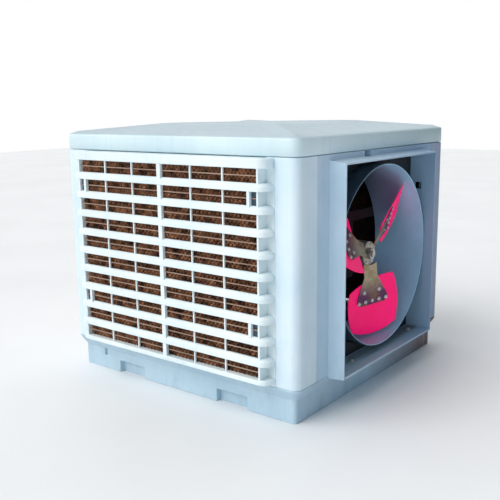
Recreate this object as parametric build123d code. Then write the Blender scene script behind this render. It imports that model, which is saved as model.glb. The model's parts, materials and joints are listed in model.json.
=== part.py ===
"""Industrial evaporative air cooler with side discharge.

Millimetres, +Z up. The origin is on the ground at the middle of the body's plan. The louvred
front faces -Y and the fan discharges towards +X. Left, in names, is the -X side.
"""
import os
from math import cos, radians, sin

from build123d import *

os.makedirs("parts", exist_ok=True)

# ---- Driving dimensions: body -------------------------------------------------------------
BODY_X = 1100.0            # plan of the posts, base flange and lid, along X
BODY_Y = 1100.0            # the same along Y
BODY_CORNER_R = 32.0       # rounding of the upright corners
BASE_H = 127.0             # ground to the top of the basin
LID_SKIRT_H = 62.0         # upright edge of the lid
LID_SLOPE_H = 29.0         # rise of the hipped part of the lid
LID_CROWN_H = 6.0          # rise of the nearly flat middle of the lid
PROUD = 50.0               # louvres stand this far out of the body
JOINT_GAP = 0.3            # fitting clearance between seated pieces

# ---- Basin --------------------------------------------------------------------------------
BASE_INSET = 23.0          # skirt below the flange, set in from the body
SKIRT_CORNER_R = 16.0
BASE_SKIRT_H = 85.0        # upright part of the skirt
BASE_BEVEL_H = 35.0        # slope from the skirt out to the flange
BASE_WALL = 14.0
BASE_FLOOR = 30.0          # thickness under the water
RECESS_H = 48.0            # lifting recesses in the skirt
RECESS_W = 137.0
RECESS_DEPTH = 24.0
RECESS_FROM_MIDDLE = 253.5  # middle of the side to the middle of a recess
DRAIN_SLOT_W = 14.0        # overflow slot in the front skirt
DRAIN_SLOT_H = 30.0
DRAIN_SLOT_Z = 55.0
DRAIN_SLOT_DEPTH = 12.0
DRAIN_SLOT_FROM_CORNER = 146.0

# ---- Posts --------------------------------------------------------------------------------
POST_W = 88.0              # post as seen from a louvred side

# ---- Louvres and pads ---------------------------------------------------------------------
ROWS = 10
COLUMNS = 6
SILL_H = 12.0              # louvre frame stands this far over the basin
HEAD_GAP = 2.0             # louvre frame stops this far under the lid
FLANGE_W = 30.0            # frame flange from the post to the case
FLANGE_T = 25.0
CASE_T = 8.0               # sides of the case that holds the pad
CASE_SET_BACK = 6.0        # slat nose to the front edge of the case's sides
HEAD_H = 32.0              # top bar of the frame
STRIP_H = 18.0             # bottom bar of the frame
BAR_CORNER_R = 35.0        # bars and slats turn back to the flange round this radius
SLAT_H = 26.0
SLAT_T = 4.0
SLAT_SLOPE = 10.0          # run and rise of the slope along a slat's upper edge
SLAT_PAD_GAP = 2.0
FIN_T = 6.0                # upright bars between the columns
FIN_D = 7.0
MIDDLE_FIN_T = 18.0
MIDDLE_FIN_D = 13.0
FIN_BACK = 16.0            # slat nose to the back of the fins and ribs
RIB_H = 4.0                # thin bar across the middle of each row
RIB_D = 4.0
LATCH_ROWS = (1, 7)        # rows, counted from the top, that hold the frame's latches
LATCH_W = 12.0
LATCH_FROM_EDGE = 31.0
PAD_SET_BACK = 20.0        # louvre front to pad front
PAD_T = 100.0

# ---- Fan side -----------------------------------------------------------------------------
RING_R = 342.0             # outside of the fan ring
RING_T = 6.0
RING_DEPTH = 220.0
RIM_PROUD = 57.0           # discharge rim stands this far out of the body
RING_SET_BACK = 37.0       # rim front to ring front
RING_SIDE_GAP = 3.0        # ring to the sides of the opening
RING_SILL_GAP = 24.0       # basin to ring
RING_HEAD_GAP = 18.0       # ring to the head of the opening
HEAD_STRIP = 33.0          # head of the opening to the lid
FAN_WALL_W = 89.0          # side of the opening to the post
PANEL_T = 25.0
RIM_LIP = 6.0              # width of the rim's front edge
RIM_FLARE = 10.0           # how far the rim widens towards the body
RIM_HEAD_FLARE = 8.0
RIM_SILL_T = 8.0
RIM_SILL_FLARE = 2.0
TUNNEL_T = 8.0
PLATE_T = 12.0
PLATE_SET_BACK = 107.0     # rim front to the face of the orifice plate
SIDE_SLOT_L = 28.0         # blind slot in the far wall of the tunnel, ending inside the panel
SIDE_SLOT_H = 27.0
SIDE_SLOT_DEPTH = 30.0
SIDE_SLOT_FROM_FRONT = 1.0  # body face to the end of the slot
SIDE_SLOT_ABOVE_AXIS = 227.0
NOTCH_W = 44.0             # cable notch under the lid
NOTCH_H = 22.0
NOTCH_FROM_MIDDLE = 105.0

# ---- Rotor --------------------------------------------------------------------------------
BLADES = 3
FIRST_BLADE = 38.0         # degrees from +Y towards +Z
PITCH = 26.0               # blade pitch in degrees
TIP_GAP = 8.0
BLADE_CHORD = 230.0
BLADE_T = 3.0
BLADE_CAMBER_R = 700.0
BLADE_ROOT_HIGH = 80.0     # inner end of the blade on its leading side
BLADE_ROOT_LOW = 132.0     # inner end of the blade on its trailing side
BLADE_TIP_CORNER_R = 58.0
BLADE_ROOT_CORNER_R = 30.0
ARM_T = 4.0
ARM_NECK_W = 60.0
ARM_NECK_R = 92.0          # where the arm starts to widen
ARM_END_W = 165.0
ARM_END_R = 205.0
ARM_CORNER_R = 22.0
HUB_R = 46.0
HUB_DEPTH = 64.0
HUB_SET_BACK = 65.0        # ring front to hub front
SHAFT_R = 12.0
SHAFT_RUN_GAP = 0.05       # running clearance at the bearing
SHAFT_PROUD = 20.0
NUT_H = 14.0
NUT_FLATS = 38.0

# ---- Motor --------------------------------------------------------------------------------
MOTOR_R = 85.0
MOTOR_L = 210.0
MOTOR_PLATE = 270.0
MOTOR_PLATE_T = 8.0
BEARING_DEPTH = 70.0
SHAFT_HOLE_GAP = 6.0
BAR_H = 40.0
BAR_D = 30.0
BAR_GAP = 5.0              # motor to the bars above and below it

# ---- Water circuit ------------------------------------------------------------------------
PIPE_R = 14.0
HEADER_BEND_R = 30.0
HEADER_DROP = 32.0         # lid's underside to the middle of the header pipe
HEADER_GAP = 16.0          # pad to header pipe
HEADER_END_GAP = 12.0      # post to the end of the header pipe
PUMP_R = 58.0
PUMP_H = 150.0

# ---- Derived ------------------------------------------------------------------------------
HALF_X = BODY_X / 2
HALF_Y = BODY_Y / 2
OPENING_H = RING_SILL_GAP + 2 * RING_R + RING_HEAD_GAP
OPENING_HALF_W = RING_R + RING_SIDE_GAP
OPENING_TOP = BASE_H + OPENING_H
LID_Z = OPENING_TOP + HEAD_STRIP
LID_TOP = LID_Z + LID_SKIRT_H + LID_SLOPE_H + LID_CROWN_H
RIM_X = HALF_X + RIM_PROUD
RING_X = RIM_X - RING_SET_BACK
PLATE_X = RIM_X - PLATE_SET_BACK
AXIS_Z = BASE_H + RING_SILL_GAP + RING_R
FAN_WALL_HALF_W = OPENING_HALF_W + FAN_WALL_W
HUB_X = RING_X - HUB_SET_BACK
RING_BACK_X = RING_X - RING_DEPTH
TIP_R = RING_R - RING_T - TIP_GAP


def upright_box(x_range, y_range, z_range):
    """Solid box between the given limits."""
    size = [high - low for low, high in (x_range, y_range, z_range)]
    corner = Location((x_range[0], y_range[0], z_range[0]))
    return corner * Box(*size, align=(Align.MIN, Align.MIN, Align.MIN))


def block(half_x, half_y, z_low, z_high):
    """Solid box centred on the Z axis."""
    return upright_box((-half_x, half_x), (-half_y, half_y), (z_low, z_high))


def rounded_block(half_x, half_y, corner_r, z_low, z_high):
    """Solid centred on the Z axis, with rounded upright corners."""
    outline = RectangleRounded(2 * half_x, 2 * half_y, corner_r)
    return Pos(0, 0, z_low) * extrude(outline, z_high - z_low)


def save(shape, node):
    """Write one node."""
    export_step(shape, f"parts/{node}.step")


def turn_about_z(shape, degrees):
    """Turn a piece of the front side to another side."""
    return Rot(0, 0, degrees) * shape


# ---- Basin --------------------------------------------------------------------------------
def base_basin():
    """Open water basin that stands on the ground inside the skirt."""
    half_x, half_y = basin_half_sizes()
    basin = block(half_x, half_y, 0, BASE_H)
    return basin - block(half_x - BASE_WALL, half_y - BASE_WALL, BASE_FLOOR, BASE_H)


def basin_half_sizes():
    """Half sizes of the basin's outside, which is the back of the lifting recesses."""
    set_in = BASE_INSET + RECESS_DEPTH
    return HALF_X - set_in, HALF_Y - set_in


def skirt_outline(half_x, half_y, corner_r, z):
    """Rounded outline of the skirt at one height."""
    return Pos(0, 0, z) * RectangleRounded(2 * half_x, 2 * half_y, corner_r)


def base_skirt():
    """Ring round the basin, above the feet: upright, then a slope out to the flange."""
    skirt_half_x, skirt_half_y = HALF_X - BASE_INSET, HALF_Y - BASE_INSET
    bevel_top = BASE_SKIRT_H + BASE_BEVEL_H
    skirt = rounded_block(skirt_half_x, skirt_half_y, SKIRT_CORNER_R, RECESS_H, BASE_SKIRT_H)
    low = skirt_outline(skirt_half_x, skirt_half_y, SKIRT_CORNER_R, BASE_SKIRT_H)
    high = skirt_outline(HALF_X, HALF_Y, BODY_CORNER_R, bevel_top)
    flange = rounded_block(HALF_X, HALF_Y, BODY_CORNER_R, bevel_top, BASE_H)
    ring = skirt + loft([low, high]) + flange - block(*basin_half_sizes(), RECESS_H, BASE_H)
    slot_x = -HALF_X + DRAIN_SLOT_FROM_CORNER
    return ring - upright_box((slot_x - DRAIN_SLOT_W / 2, slot_x + DRAIN_SLOT_W / 2),
                              (-skirt_half_y, -skirt_half_y + DRAIN_SLOT_DEPTH),
                              (DRAIN_SLOT_Z, DRAIN_SLOT_Z + DRAIN_SLOT_H))


def base_feet():
    """Feet under the skirt, parted by two lifting recesses on each louvred side."""
    skirt_half_x, skirt_half_y = HALF_X - BASE_INSET, HALF_Y - BASE_INSET
    feet = rounded_block(skirt_half_x, skirt_half_y, SKIRT_CORNER_R, 0, RECESS_H)
    feet -= block(*basin_half_sizes(), 0, RECESS_H)
    for side_half, degrees in ((skirt_half_y, 0), (skirt_half_x, -90), (skirt_half_y, 180)):
        for middle in (-RECESS_FROM_MIDDLE, RECESS_FROM_MIDDLE):
            recess = upright_box((middle - RECESS_W / 2, middle + RECESS_W / 2),
                                 (-side_half, -side_half + RECESS_DEPTH), (0, RECESS_H))
            feet -= turn_about_z(recess, degrees)
    return feet


# ---- Posts and lid ------------------------------------------------------------------------
def corner_post(side_x, side_y):
    """Upright at one corner, rounded outside. side_x and side_y are 1 or -1."""
    inner_x = HALF_X - POST_W
    inner_y = FAN_WALL_HALF_W if side_x > 0 else HALF_Y - POST_W
    whole = rounded_block(HALF_X, HALF_Y, BODY_CORNER_R, BASE_H, LID_Z)
    corner = upright_box(sorted((side_x * inner_x, side_x * HALF_X)),
                         sorted((side_y * inner_y, side_y * HALF_Y)), (BASE_H, LID_Z))
    return whole & corner


def top_cover():
    """Lid with an upright skirt, four shallow slopes and a nearly flat crown."""
    slope_z = LID_Z + LID_SKIRT_H
    crown_z = slope_z + LID_SLOPE_H
    skirt = rounded_block(HALF_X, HALF_Y, BODY_CORNER_R, LID_Z, slope_z)
    low = Pos(0, 0, slope_z) * Rectangle(BODY_X - BODY_CORNER_R, BODY_Y - BODY_CORNER_R)
    middle = Pos(0, 0, crown_z) * Rectangle(BODY_X / 2, BODY_Y / 2)
    high = Pos(0, 0, LID_TOP) * Rectangle(BODY_X / 12, BODY_Y / 12)
    return skirt + loft([low, middle], ruled=True) + loft([middle, high], ruled=True)


# ---- Louvred sides ------------------------------------------------------------------------
def louvre_sizes(width):
    """Heights and half width shared by a louvre frame and its pad."""
    bottom = BASE_H + SILL_H
    top = LID_Z - HEAD_GAP
    pitch = (top - bottom - HEAD_H - STRIP_H + SLAT_H) / ROWS
    half_opening = width / 2 - FLANGE_W - CASE_T
    return bottom, top, pitch, half_opening


def wrapped_bar(inset, width, half_depth, z_range):
    """Bar across a louvre that turns back to the flange at both ends, round its corners."""
    front_y, back_y = -half_depth - PROUD + inset, -half_depth
    corner_r = BAR_CORNER_R - inset
    half = width / 2 - inset
    outline = Rectangle(2 * half, back_y + corner_r - front_y)
    sheet = Pos(0, (front_y + back_y + corner_r) / 2, z_range[0]) * fillet(outline.vertices(), corner_r)
    return extrude(sheet, z_range[1] - z_range[0]) & upright_box((-half, half), (front_y, back_y), z_range)


def sloped(bar):
    """The bar with a slope along its upper edge, on the front and the two ends."""
    rim = bar.faces().sort_by(Axis.Z)[-1].edges().sort_by(Axis.Y)[:-1]
    return chamfer(rim, SLAT_SLOPE)


def slat(width, half_depth):
    """Hollow slat, open below, with its lower edge on the XY plane."""
    outside = sloped(wrapped_bar(0, width, half_depth, (0, SLAT_H)))
    inside = sloped(wrapped_bar(SLAT_T, width, half_depth, (-SLAT_H, SLAT_H - SLAT_T)))
    return outside - inside


def louvre(width, half_depth):
    """Louvre frame of the -Y side, for the given width between posts."""
    bottom, top, pitch, half_opening = louvre_sizes(width)
    front_y = -half_depth - PROUD
    strip_top, head_bottom = bottom + STRIP_H, top - HEAD_H
    back_y = front_y + PAD_SET_BACK + PAD_T
    half_case = half_opening + CASE_T

    flange = upright_box((-width / 2, width / 2), (-half_depth, -half_depth + FLANGE_T), (BASE_H, LID_Z))
    case = upright_box((-half_case, half_case), (front_y + CASE_SET_BACK, back_y), (bottom, top))
    hollow = upright_box((-half_opening, half_opening), (front_y - 1, back_y + 1), (strip_top, head_bottom))
    pad_space = upright_box((-half_opening, half_opening), (front_y + PAD_SET_BACK - SLAT_PAD_GAP, back_y),
                            (strip_top, head_bottom))
    bars = [wrapped_bar(0, width, half_depth, z_range) for z_range in ((bottom, strip_top), (head_bottom, top))]
    one_slat = slat(width, half_depth)
    bars += [Pos(0, 0, head_bottom - row * pitch) * one_slat - pad_space for row in range(1, ROWS)]
    uprights = fins(half_opening, front_y, (strip_top, head_bottom))
    uprights += latches(half_opening, front_y, head_bottom, pitch)
    return (flange + case) - hollow + bars + uprights + ribs(half_opening, front_y, head_bottom, pitch)


def fins(half_opening, front_y, z_range):
    """Upright bars between the columns; the middle one is broader."""
    bars = []
    for number in range(1, COLUMNS):
        middle = 2 * number == COLUMNS
        half = (MIDDLE_FIN_T if middle else FIN_T) / 2
        depth = MIDDLE_FIN_D if middle else FIN_D
        x = half_opening * (2 * number / COLUMNS - 1)
        bars.append(upright_box((x - half, x + half), (front_y + FIN_BACK - depth, front_y + FIN_BACK), z_range))
    return bars


def ribs(half_opening, front_y, head_bottom, pitch):
    """Thin bars across the middle of the rows."""
    bars = []
    for row in range(ROWS):
        z = head_bottom - row * pitch - (pitch - SLAT_H) / 2
        bars.append(upright_box((-half_opening, half_opening), (front_y + FIN_BACK - RIB_D, front_y + FIN_BACK),
                                (z - RIB_H / 2, z + RIB_H / 2)))
    return bars


def latches(half_opening, front_y, head_bottom, pitch):
    """Short uprights near the ends of the latch rows."""
    bars = []
    for row in LATCH_ROWS:
        row_top = head_bottom - row * pitch
        for side in (-1, 1):
            x = side * (half_opening - LATCH_FROM_EDGE)
            bars.append(upright_box((x - LATCH_W / 2, x + LATCH_W / 2),
                                    (front_y + FIN_BACK - MIDDLE_FIN_D, front_y + FIN_BACK),
                                    (row_top - pitch, row_top + SLAT_H / 2)))
    return bars


def cooling_pad(width, half_depth):
    """Wet pad that fills the louvre frame of the -Y side."""
    bottom, top, _, half_opening = louvre_sizes(width)
    front_y = -half_depth - PROUD + PAD_SET_BACK
    half_pad = half_opening - JOINT_GAP
    return upright_box((-half_pad, half_pad), (front_y, front_y + PAD_T),
                       (bottom + STRIP_H, top - HEAD_H - JOINT_GAP))


# ---- Fan side -----------------------------------------------------------------------------
def fan_panel():
    """Wall of the fan side with its flared discharge rim and the tunnel behind the rim."""
    wall = upright_box((HALF_X - PANEL_T, HALF_X), (-FAN_WALL_HALF_W, FAN_WALL_HALF_W), (BASE_H, LID_Z))
    face = Plane(origin=(HALF_X, 0, 0), x_dir=(0, 1, 0), z_dir=(1, 0, 0))
    outer_half = OPENING_HALF_W + RIM_LIP + RIM_FLARE
    lip_half = OPENING_HALF_W + RIM_LIP
    lip_low, lip_high = BASE_H - RIM_SILL_T, OPENING_TOP + RIM_LIP
    low, high = lip_low - RIM_SILL_FLARE, lip_high + RIM_HEAD_FLARE
    root = face * Pos(0, (low + high) / 2) * Rectangle(2 * outer_half, high - low)
    lip = face * Pos(0, (lip_low + lip_high) / 2, RIM_PROUD) * Rectangle(2 * lip_half, lip_high - lip_low)
    rim = loft([root, lip], ruled=True)
    tunnel_half = OPENING_HALF_W + TUNNEL_T
    tunnel = upright_box((PLATE_X, HALF_X), (-tunnel_half, tunnel_half), (BASE_H, OPENING_TOP + TUNNEL_T))
    opening = upright_box((PLATE_X - 1, RIM_X + 1), (-OPENING_HALF_W, OPENING_HALF_W),
                          (BASE_H, OPENING_TOP))
    panel = wall + rim + tunnel - opening
    slot_x, slot_z = HALF_X - SIDE_SLOT_FROM_FRONT, AXIS_Z + SIDE_SLOT_ABOVE_AXIS
    panel -= upright_box((slot_x - SIDE_SLOT_L, slot_x), (OPENING_HALF_W, OPENING_HALF_W + SIDE_SLOT_DEPTH),
                         (slot_z - SIDE_SLOT_H / 2, slot_z + SIDE_SLOT_H / 2))
    panel -= upright_box((HALF_X - PANEL_T, RIM_X),
                         (-NOTCH_FROM_MIDDLE - NOTCH_W / 2, -NOTCH_FROM_MIDDLE + NOTCH_W / 2),
                         (LID_Z - NOTCH_H, LID_Z))
    return panel


def along_x(radius, x_low, x_high):
    """Solid cylinder round the fan's axis."""
    start = Plane(origin=(x_low, 0, AXIS_Z), x_dir=(0, 1, 0), z_dir=(1, 0, 0))
    return extrude(start * Circle(radius), x_high - x_low)


def orifice_plate():
    """Plate across the body, with the round hole that the ring passes through."""
    plate = upright_box((PLATE_X - PLATE_T, PLATE_X), (-FAN_WALL_HALF_W, FAN_WALL_HALF_W), (BASE_H, LID_Z))
    return plate - along_x(RING_R + JOINT_GAP, PLATE_X - PLATE_T, PLATE_X)


def fan_ring():
    """Round duct that the rotor turns in."""
    outside = along_x(RING_R, RING_BACK_X, RING_X)
    return outside - along_x(RING_R - RING_T, RING_BACK_X, RING_X)


# ---- Motor and rotor ----------------------------------------------------------------------
def motor_bracket():
    """Two bars across the back of the ring and the plate that they carry."""
    bar_middle = MOTOR_R + BAR_GAP + BAR_H / 2
    bracket = upright_box((RING_BACK_X, RING_BACK_X + MOTOR_PLATE_T), (-MOTOR_PLATE / 2, MOTOR_PLATE / 2),
                          (AXIS_Z - MOTOR_PLATE / 2, AXIS_Z + MOTOR_PLATE / 2))
    for side in (-1, 1):
        z = AXIS_Z + side * bar_middle
        bracket += upright_box((RING_BACK_X - BAR_D, RING_BACK_X), (-RING_R, RING_R),
                               (z - BAR_H / 2, z + BAR_H / 2))
    return bracket - along_x(SHAFT_R + SHAFT_HOLE_GAP, RING_BACK_X, RING_BACK_X + MOTOR_PLATE_T)


def fan_motor():
    """Motor body bolted behind the plate, with the shaft's bearing."""
    body = along_x(MOTOR_R, RING_BACK_X - MOTOR_L, RING_BACK_X)
    return body - along_x(SHAFT_R + SHAFT_RUN_GAP, RING_BACK_X - BEARING_DEPTH, RING_BACK_X)


def fan_shaft():
    """Shaft from the motor's bearing to the hub nut."""
    return along_x(SHAFT_R, RING_BACK_X - BEARING_DEPTH + JOINT_GAP, HUB_X + SHAFT_PROUD)


def fan_hub():
    """Hub drum with the shaft's bore."""
    hub = along_x(HUB_R, HUB_X - HUB_DEPTH, HUB_X)
    return hub - along_x(SHAFT_R + SHAFT_RUN_GAP, HUB_X - HUB_DEPTH, HUB_X)


def hub_nut():
    """Six-sided nut on the front of the hub."""
    start = Plane(origin=(HUB_X, 0, AXIS_Z), x_dir=(0, 1, 0), z_dir=(1, 0, 0))
    corner_r = NUT_FLATS / 2 / cos(radians(30))
    nut = extrude(start * RegularPolygon(corner_r, 6), NUT_H)
    return nut - along_x(SHAFT_R + SHAFT_RUN_GAP, HUB_X, HUB_X + NUT_H)


def cambered(outline, z_offset, thickness):
    """Sheet with the given outline, bent about a line along X, hollow towards +Z."""
    axis = Plane(origin=(0, 0, BLADE_CAMBER_R), x_dir=(0, 1, 0), z_dir=(1, 0, 0))
    outside = extrude(axis * Circle(BLADE_CAMBER_R - z_offset + thickness), 2 * RING_R)
    inside = extrude(axis * Circle(BLADE_CAMBER_R - z_offset), 2 * RING_R)
    block_above = Pos(0, 0, -BLADE_CHORD) * extrude(outline, 2 * BLADE_CHORD)
    return block_above & (outside - inside)


def blade_place(number):
    """Place of one blade: X outwards along the radius, Z to the pitched sheet's hollow side."""
    angle = radians(FIRST_BLADE + number * 360 / BLADES)
    disc = Plane(origin=(HUB_X, 0, AXIS_Z), x_dir=(0, cos(angle), sin(angle)), z_dir=(1, 0, 0))
    return disc.location * Rot(PITCH, 0, 0)


def blade_outline():
    """Blade flattened out: round tip, square shoulders, slanted root."""
    half = BLADE_CHORD / 2
    corners = ((BLADE_ROOT_LOW, -half), (TIP_R, -half), (TIP_R, half), (BLADE_ROOT_HIGH, half))
    sheet = make_face(Polyline(*corners, close=True))
    roots = sheet.vertices().sort_by(Axis.X)[:2]
    sheet = fillet(roots, BLADE_ROOT_CORNER_R)
    sheet &= Circle(TIP_R)
    tips = sheet.vertices().sort_by(Axis.X)[-2:]
    return fillet(tips, BLADE_TIP_CORNER_R)


def arm_outline():
    """Arm flattened out: narrow neck at the hub, wide end on the blade."""
    neck, end = ARM_NECK_W / 2, ARM_END_W / 2
    corners = ((0, -neck), (ARM_NECK_R, -neck), (ARM_END_R, -end), (ARM_END_R, end),
               (ARM_NECK_R, neck), (0, neck))
    sheet = make_face(Polyline(*corners, close=True))
    ends = sheet.vertices().sort_by(Axis.X)[-2:]
    return fillet(ends, ARM_CORNER_R)


def fan_blade(number):
    """Broad paddle blade."""
    return blade_place(number) * cambered(blade_outline(), 0, BLADE_T)


def fan_arm(number):
    """Sheet arm on the hollow face of a blade, ending at the hub."""
    arm = blade_place(number) * cambered(arm_outline(), ARM_T + JOINT_GAP / 2, ARM_T)
    return arm - along_x(HUB_R + JOINT_GAP, RING_BACK_X, RIM_X)


# ---- Water circuit ------------------------------------------------------------------------
def header_line():
    """Half extents of the header's centre line and its height."""
    inset = PAD_SET_BACK + PAD_T - PROUD + HEADER_GAP + PIPE_R
    return HALF_X - inset, HALF_Y - inset, LID_Z - HEADER_DROP


def pipe_along(path):
    """Round pipe, solid inside, along a path."""
    return sweep(Plane(origin=path @ 0, z_dir=path % 0) * Circle(PIPE_R), path)


def water_header():
    """Pipe that feeds the three pads from above, on the inside of the body."""
    half_x, half_y, z = header_line()
    ends_x = HALF_X - POST_W - HEADER_END_GAP
    corners = ((ends_x, -half_y, z), (-half_x, -half_y, z), (-half_x, half_y, z), (ends_x, half_y, z))
    return pipe_along(FilletPolyline(*corners, radius=HEADER_BEND_R))


def water_pump():
    """Pump standing in the basin beside the left pad, under the riser."""
    half_x, _, _ = header_line()
    place = Pos(PUMP_R - PIPE_R - half_x, 0, BASE_FLOOR)
    return place * extrude(Circle(PUMP_R), PUMP_H)


def riser_pipe():
    """Pipe from the pump up to the header."""
    half_x, _, z = header_line()
    return pipe_along(Line((-half_x, 0, BASE_FLOOR + PUMP_H), (-half_x, 0, z - PIPE_R - JOINT_GAP)))


def build():
    """Write every node."""
    save(base_basin(), "base_basin")
    save(base_skirt(), "base_skirt")
    save(base_feet(), "base_feet")
    for name, side_x, side_y in (("front_right", 1, -1), ("front_left", -1, -1),
                                 ("back_left", -1, 1), ("back_right", 1, 1)):
        save(corner_post(side_x, side_y), f"corner_post_{name}")
    save(top_cover(), "top_cover")

    width_x, width_y = BODY_X - 2 * POST_W, BODY_Y - 2 * POST_W
    for name, width, half_depth, degrees in (("front", width_x, HALF_Y, 0), ("left", width_y, HALF_X, -90),
                                             ("back", width_x, HALF_Y, 180)):
        save(turn_about_z(louvre(width, half_depth), degrees), f"{name}_louvre")
        save(turn_about_z(cooling_pad(width, half_depth), degrees), f"{name}_pad")

    save(fan_panel(), "fan_panel")
    save(orifice_plate(), "orifice_plate")
    save(fan_ring(), "fan_ring")
    save(motor_bracket(), "motor_bracket")
    save(fan_motor(), "fan_motor")
    save(fan_shaft(), "fan_shaft")
    save(fan_hub(), "fan_hub")
    save(hub_nut(), "hub_nut")
    for number in range(BLADES):
        save(fan_arm(number), f"fan_arm_{number + 1}")
        save(fan_blade(number), f"fan_blade_{number + 1}")
    save(water_header(), "water_header")
    save(water_pump(), "water_pump")
    save(riser_pipe(), "riser_pipe")


build()
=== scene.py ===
"""Looks of the industrial evaporative air cooler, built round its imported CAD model. Metres, +Z up."""
import json
import math
import random

import bmesh
import bpy
from mathutils import Matrix, Vector
from mathutils.bvhtree import BVHTree


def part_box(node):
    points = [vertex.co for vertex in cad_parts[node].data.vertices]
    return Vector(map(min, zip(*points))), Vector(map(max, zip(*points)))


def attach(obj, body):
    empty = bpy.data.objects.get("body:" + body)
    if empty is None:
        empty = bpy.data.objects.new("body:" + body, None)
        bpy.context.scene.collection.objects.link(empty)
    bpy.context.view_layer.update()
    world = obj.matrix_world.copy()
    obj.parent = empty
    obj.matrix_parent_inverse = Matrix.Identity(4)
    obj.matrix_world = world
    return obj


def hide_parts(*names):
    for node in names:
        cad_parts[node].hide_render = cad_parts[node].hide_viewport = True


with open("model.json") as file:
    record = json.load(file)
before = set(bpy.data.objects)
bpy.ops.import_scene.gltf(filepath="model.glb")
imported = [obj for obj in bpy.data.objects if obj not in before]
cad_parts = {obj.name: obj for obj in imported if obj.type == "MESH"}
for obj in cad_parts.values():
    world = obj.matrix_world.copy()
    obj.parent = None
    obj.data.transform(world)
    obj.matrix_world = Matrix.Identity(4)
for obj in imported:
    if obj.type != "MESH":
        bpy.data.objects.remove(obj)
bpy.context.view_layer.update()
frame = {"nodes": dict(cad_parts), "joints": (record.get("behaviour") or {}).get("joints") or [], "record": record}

# ---- Sizes that the CAD model also has, in metres -------------------------------------------
CORNER_R = 0.032           # rounding of the upright corners
PROUD = 0.050              # louvres stand this far out of the body
ROWS = 10
COLUMNS = 6
SILL_H = 0.012             # basin to louvre frame
HEAD_GAP = 0.002           # louvre frame to lid
FLANGE_W = 0.030           # post to the louvre's case
FLANGE_T = 0.025
CASE_T = 0.008
CASE_SET_BACK = 0.006
HEAD_H = 0.032
STRIP_H = 0.018
BAR_CORNER_R = 0.035
SLAT_H = 0.026
FIN_T = 0.006
FIN_D = 0.007
MIDDLE_FIN_T = 0.018
MIDDLE_FIN_D = 0.013
FIN_BACK = 0.016
RIB_H = 0.004
RIB_D = 0.004
LATCH_ROWS = (1, 7)
LATCH_W = 0.012
LATCH_FROM_EDGE = 0.031
BASE_INSET = 0.023
SKIRT_CORNER_R = 0.016
SKIRT_H = 0.085
BEVEL_H = 0.035
RECESS_H = 0.048
RECESS_W = 0.137
RECESS_DEPTH = 0.024
RECESS_FROM_MIDDLE = 0.2535
DRAIN_SLOT = (0.014, 0.030, 0.055)     # width, height, lowest point
DRAIN_SLOT_DEPTH = 0.012
DRAIN_SLOT_FROM_CORNER = 0.146
LID_SKIRT_H = 0.062
LID_SLOPE_H = 0.029
RING_T = 0.006
TIP_GAP = 0.008            # blade to ring
PITCH = math.radians(26.0)
FIRST_BLADE = math.radians(38.0)
BLADES = 3
BLADE_CHORD = 0.230
BLADE_CAMBER_R = 0.700
BLADE_ROOT_HIGH = 0.080
BLADE_ROOT_LOW = 0.132
BASIN_WALL = 0.014
WATER_Z = 0.095

# ---- Places read from the CAD model ---------------------------------------------------------
BASE_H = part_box("base_skirt")[1].z
LID_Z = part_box("top_cover")[0].z
LID_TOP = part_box("top_cover")[1].z
HALF_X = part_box("top_cover")[1].x
HALF_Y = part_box("top_cover")[1].y
AXIS = Vector(frame["joints"][0]["pos_m"])
RING_LOW, RING_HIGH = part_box("fan_ring")
HUB_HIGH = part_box("fan_hub")[1]
RING_R = (RING_HIGH.z - RING_LOW.z) / 2
TIP_R = RING_R - RING_T - TIP_GAP

SLOT_OF = {part["node"]: part["material_slot"] for part in frame["record"]["subparts"]}
SEED = random.Random(7)


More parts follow.
